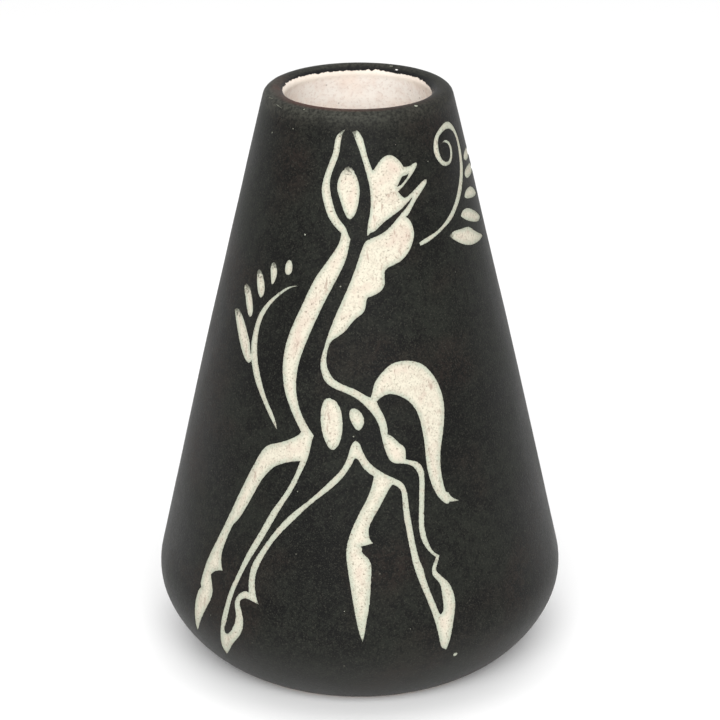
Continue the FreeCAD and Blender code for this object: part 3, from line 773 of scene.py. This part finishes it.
def scraped_ground():
    """The white slip where the black is scraped off it: greener by the edges, pinker inside.

    The tool's streaks lean in the upper half of the drawing and stand upright below it."""
    m = Nodes("scraped_ground")
    plain = m.place()
    away = m.attribute("from_edge")
    cloud = m.noise(plain, 130, 3)
    fine = m.noise(plain, 1900, 3, 0.65)
    inner = m.ramp(m.math("ADD", away, m.math("MULTIPLY", cloud, 0.8)), 0.55, 2.1)
    mottle = m.noise(plain, 520, 3, 0.6)
    base = m.mix(inner, CUT_EDGE, SCRAPED_WHITE)
    base = m.mix(m.ramp(mottle, 0.45, 0.65, 0, 0.45), base, SCRAPED_MOTTLE)
    base = m.mix(m.ramp(fine, 0.48, 0.65, 0, 0.45), base, SCRAPED_GRAIN)
    blush = m.math("MULTIPLY", m.ramp(cloud, 0.45, 0.7), m.ramp(away, 0.9, 2.6, 0, 0.75))
    base = m.mix(blush, base, BLUSH)
    leaning = m.noise(m.place((1, 1, 0.16), (0, math.radians(-32), 0)), 1100, 3, 0.6)
    upright = m.noise(m.place((1, 1, 0.1)), 800, 3, 0.6)
    height = m.node("ShaderNodeSeparateXYZ", Vector=plain).outputs["Z"]
    high = m.ramp(height, 0.096, 0.102)
    streak = m.math("ADD", m.math("MULTIPLY", leaning, high),
                    m.math("MULTIPLY", upright, m.math("SUBTRACT", 1.0, high)))
    where = m.ramp(m.noise(plain, 75, 2), 0.42, 0.56)
    scraped = m.math("MULTIPLY", m.ramp(streak, 0.56, 0.67), where)
    marks = m.math("MULTIPLY", scraped, m.ramp(away, 0.5, 1.4, 0, 0.6))
    base = m.mix(marks, base, SCRAPE_MARK)
    grains = m.math("MULTIPLY", m.ramp(m.noise(plain, 1900, 2), 0.62, 0.74),
                    m.ramp(cloud, 0.35, 0.6, 0.35, 0.9))
    base = m.mix(grains, base, DARK_GRAIN)
    close = m.math("SUBTRACT", m.noise(plain, 700, 4, 0.7), m.math("MULTIPLY", away, 0.9))
    residue = m.ramp(close, 0.44, 0.66, 0, 0.55)
    base = m.mix(residue, base, BLACK_RESIDUE)
    half = m.attribute("half_scraped")
    patchy = m.ramp(m.math("ADD", m.noise(plain, 1500, 3, 0.7), m.math("MULTIPLY", half, 0.3)),
                    0.52, 0.72)
    left = m.math("MULTIPLY", patchy, m.ramp(half, 0.0, 0.35, 0, 0.8))
    base = m.mix(left, base, HALF_SCRAPED_BLACK)
    relief = m.math("ADD", m.math("MULTIPLY", streak, 0.7), m.math("MULTIPLY", fine, 0.3))
    return m.finish(Base_Color=base, Roughness=0.85, Specular_IOR_Level=0.15,
                    Normal=m.bump(relief, 0.00012, 0.6))


def pink_lining():
    """The pale slip inside: pinkish with faint brown grains, whiter close under the lip, and
    painted shade a little lower down over the lip's curve.
    """
    m = Nodes("pink_lining")
    plain = m.place()
    cloud = m.noise(plain, 70, 4)
    fine = m.noise(plain, 1300, 3, 0.6)
    base = m.mix(m.ramp(cloud, 0.38, 0.62), LINING_WHITE, LINING_PINK)
    mottle = m.noise(plain, 300, 3, 0.6)
    base = m.mix(m.ramp(mottle, 0.47, 0.65, 0, 0.3), base, LINING_MOTTLE)
    base = m.mix(m.ramp(fine, 0.5, 0.68, 0, 0.4), base, LINING_GRAIN)
    grains = m.ramp(m.cells(plain, 330), 0.05, 0.12, 0.5, 0.0)
    base = m.mix(grains, base, LINING_SPECK)
    down = m.attribute("from_top")
    # painted shade: a darker band a few mm under the lining's top, over the lip's curve that takes
    # more light
    base = m.mix(m.ramp(down, 2.6, 4.6, 0.7, 0.0), base, LIP_PAINTED_SHADE)
    base = m.mix(m.ramp(m.math("ADD", down, cloud), 0.9, 1.9, 0.9, 0.0), base, LIP_WHITE)
    rings = m.noise(m.place((0.15, 0.15, 1)), 380, 2)
    relief = m.math("ADD", m.math("MULTIPLY", fine, 0.5), m.math("MULTIPLY", rings, 0.5))
    return m.finish(Base_Color=base, Roughness=0.9, Specular_IOR_Level=0.15,
                    Normal=m.bump(relief, 0.00015, 0.6))


def fired_clay():
    """Pale brown earthenware with sandy grains, which shows under the foot."""
    m = Nodes("fired_clay")
    plain = m.place()
    cloud = m.noise(plain, 60, 4)
    grain = m.noise(plain, 1100, 4, 0.65)
    base = m.mix(m.ramp(cloud, 0.35, 0.65), CLAY_DARK, CLAY_LIGHT)
    base = m.mix(m.ramp(grain, 0.55, 0.75, 0, 0.6), base, CLAY_GRAIN)
    grits = m.ramp(m.cells(plain, 260), 0.06, 0.14, 0.8, 0.0)
    base = m.mix(grits, base, CLAY_GRIT)
    rough = m.ramp(grain, 0.3, 0.7, 0.78, 0.92)
    return m.finish(Base_Color=base, Roughness=rough, Specular_IOR_Level=0.2,
                    Normal=m.bump(grain, 0.0003, 0.7))


def dress(piece, material, node):
    """Gives a visual layer its material, and puts it in the place of the CAD's layer."""
    piece.data.materials.clear()
    piece.data.materials.append(material)
    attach(piece, "root")
    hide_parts(node)


# ---------------------------------------------------------------- the pot

loops = drawing_loops(NODES["black_slip"])
outlines = [hand_cut(stepped(loop, OUTLINE_STEP)) for loop in loops]
wear = [chip(*nick, i) for i, nick in enumerate(NICKS)]
wear += [scrape(*scratch, i) for i, scratch in enumerate(SCRATCHES)]

coat = make_coat(outlines + wear)
ground = make_ground(outlines)
lining = make_lining()
dress(coat, black_slip(), "black_slip")
dress(ground, scraped_ground(), "ground_slip")
dress(lining, pink_lining(), "interior_slip")
clay = NODES["clay_body"]
clay.data.materials.clear()
clay.data.materials.append(fired_clay())


# ---------------------------------------------------------------- floor, light and camera

FLOOR_REACH = 6.0           # metres from the middle of the floor to each side
SKY = 0.5                   # strength of the even white light from all round
LIGHTS = [                  # name, place, target, size across and along, watts
    ("key", (0.0, -1.2, 0.86), (0, 0, 0.08), (1.3, 0.9), 20.2),
    ("overhead", (0.0, 0.6, 2.4), (0, 0.601, 0), (2.8, 2.8), 27),
]
ELEVATION = 21.85           # degrees that the camera looks down
ROLL = -0.25                # degrees
DISTANCE = 0.72
TARGET = Vector((0, 0, 0.08208))
LENS = 131.2                # mm, on a sensor SENSOR mm wide
SENSOR = 36.0
SHIFT = 0.9 / 720           # share of the picture's width


def make_floor():
    """A plain pale floor, far wider than the picture."""
    mesh = bpy.data.meshes.new("floor")
    size = FLOOR_REACH
    mesh.from_pydata([(-size, -size, 0), (size, -size, 0), (size, size, 0), (-size, size, 0)],
                     [], [(0, 1, 2, 3)])
    floor = bpy.data.objects.new("floor", mesh)
    bpy.context.scene.collection.objects.link(floor)
    material = bpy.data.materials.new("floor_white")
    material.use_nodes = True
    shader = material.node_tree.nodes["Principled BSDF"]
    shader.inputs["Base Color"].default_value = (1.0, 1.0, 1.0, 1)
    shader.inputs["Roughness"].default_value = 1.0
    shader.inputs["Specular IOR Level"].default_value = 0.0
    mesh.materials.append(material)


def make_light(name, place, target, size, watts):
    data = bpy.data.lights.new(name, "AREA")
    data.shape = "RECTANGLE"
    data.size, data.size_y = size
    data.energy = watts
    light = bpy.data.objects.new(name, data)
    bpy.context.scene.collection.objects.link(light)
    light.location = place
    light.rotation_mode = "QUATERNION"
    light.rotation_quaternion = (Vector(target) - Vector(place)).to_track_quat("-Z", "Y")


def make_world(strength):
    world = bpy.data.worlds.new("world")
    world.use_nodes = True
    background = world.node_tree.nodes["Background"]
    background.inputs["Color"].default_value = (1, 1, 1, 1)
    background.inputs["Strength"].default_value = strength
    bpy.context.scene.world = world


def make_camera():
    data = bpy.data.cameras.new("camera")
    data.lens = LENS
    data.sensor_width = SENSOR
    data.shift_x = SHIFT
    camera = bpy.data.objects.new("camera", data)
    bpy.context.scene.collection.objects.link(camera)
    rise = math.radians(ELEVATION)
    back = Vector((0, -math.cos(rise), math.sin(rise)))
    camera.location = TARGET + back * DISTANCE
    camera.rotation_euler = Euler((math.radians(90 - ELEVATION), 0, 0))
    camera.rotation_euler.rotate_axis("Z", math.radians(ROLL))
    data.clip_start = 0.01
    bpy.context.scene.camera = camera


make_floor()
make_world(SKY)
for light in LIGHTS:
    make_light(*light)
make_camera()
bpy.context.scene.view_settings.view_transform = "Standard"
